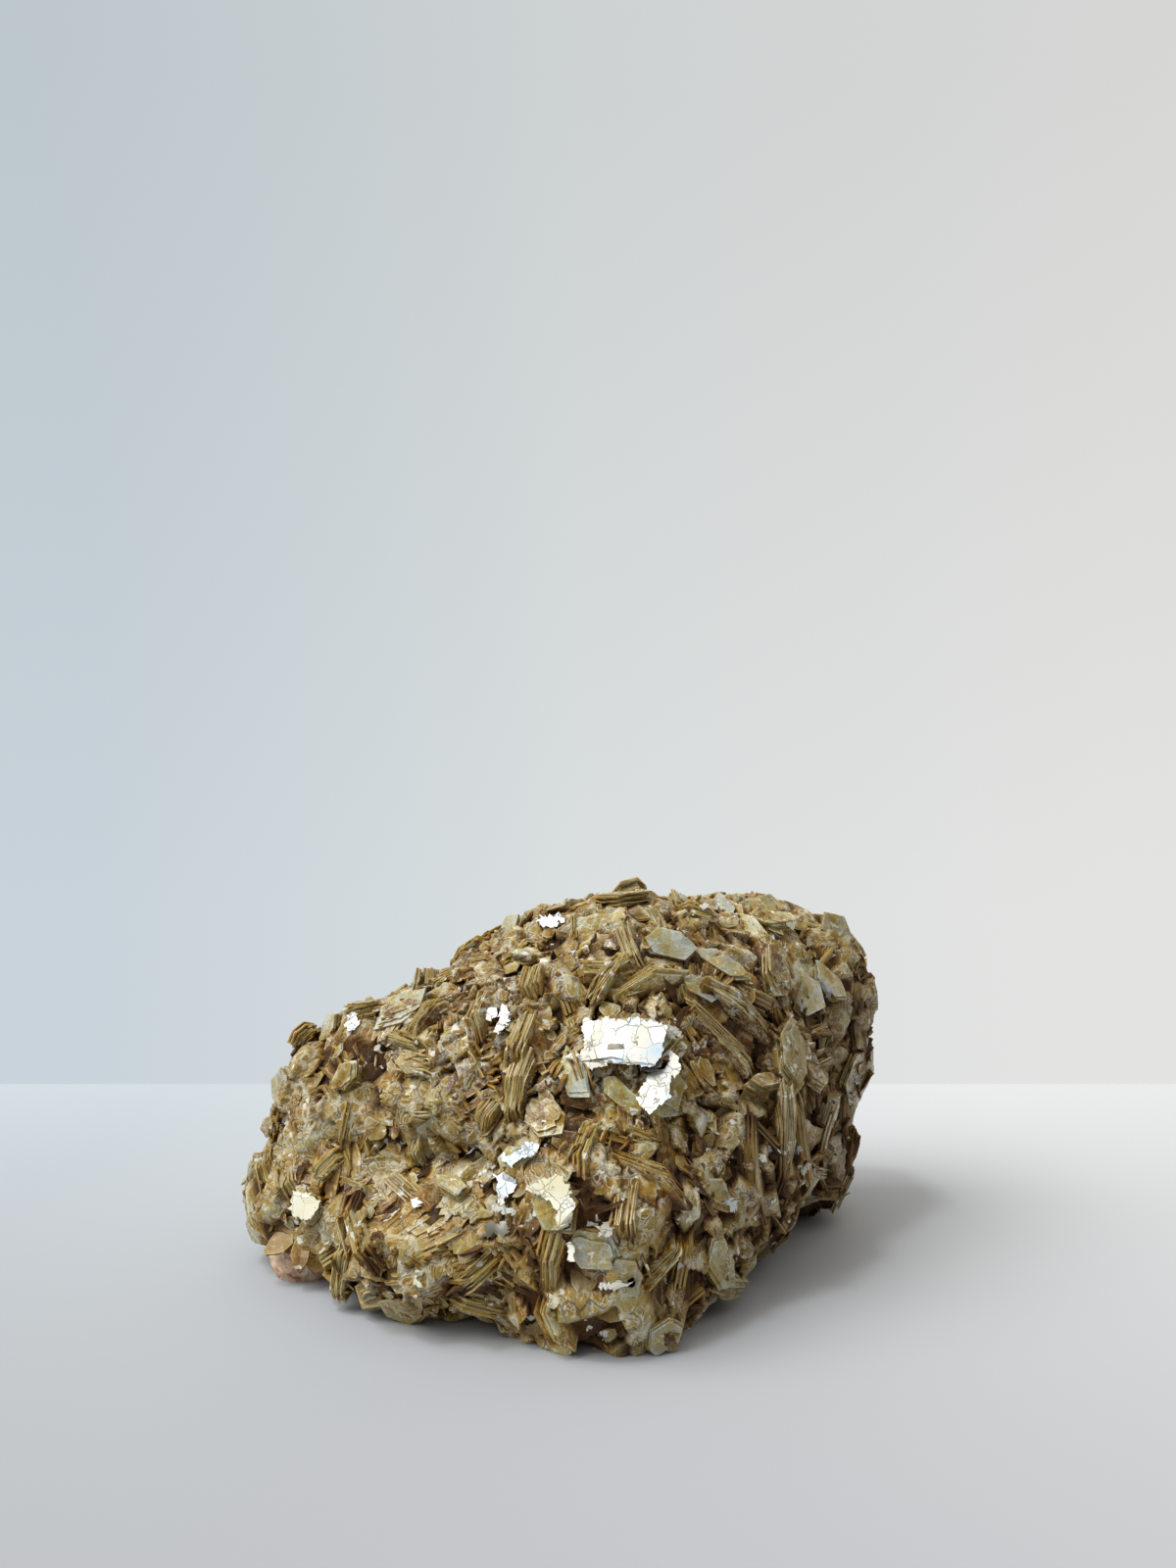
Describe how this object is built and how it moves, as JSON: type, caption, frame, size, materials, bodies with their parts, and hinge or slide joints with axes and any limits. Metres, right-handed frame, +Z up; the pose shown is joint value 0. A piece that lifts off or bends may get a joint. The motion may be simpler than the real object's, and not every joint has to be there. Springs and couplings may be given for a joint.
{
  "type": "mica crystal specimen",
  "caption": "Loaf-shaped hand specimen of golden-brown mica: intergrown stacks of flat plates standing out at all angles, with a small feldspar grain at one foot.",
  "frame": {"origin": "centre of the bounding box's bottom face, on the surface that the specimen rests on", "axes": "+X along the specimen's length, -Y its broad front, +Z up"},
  "size_m": [0.0856, 0.0605, 0.0472],
  "materials": {
    "golden_brown_mica": "pearly, with mirror-bright cleavage faces",
    "salmon_feldspar": "dull to pearly"
  },
  "bodies": {
    "root": {"mica_crystals": "golden_brown_mica", "feldspar": "salmon_feldspar"}
  },
  "joints": []
}
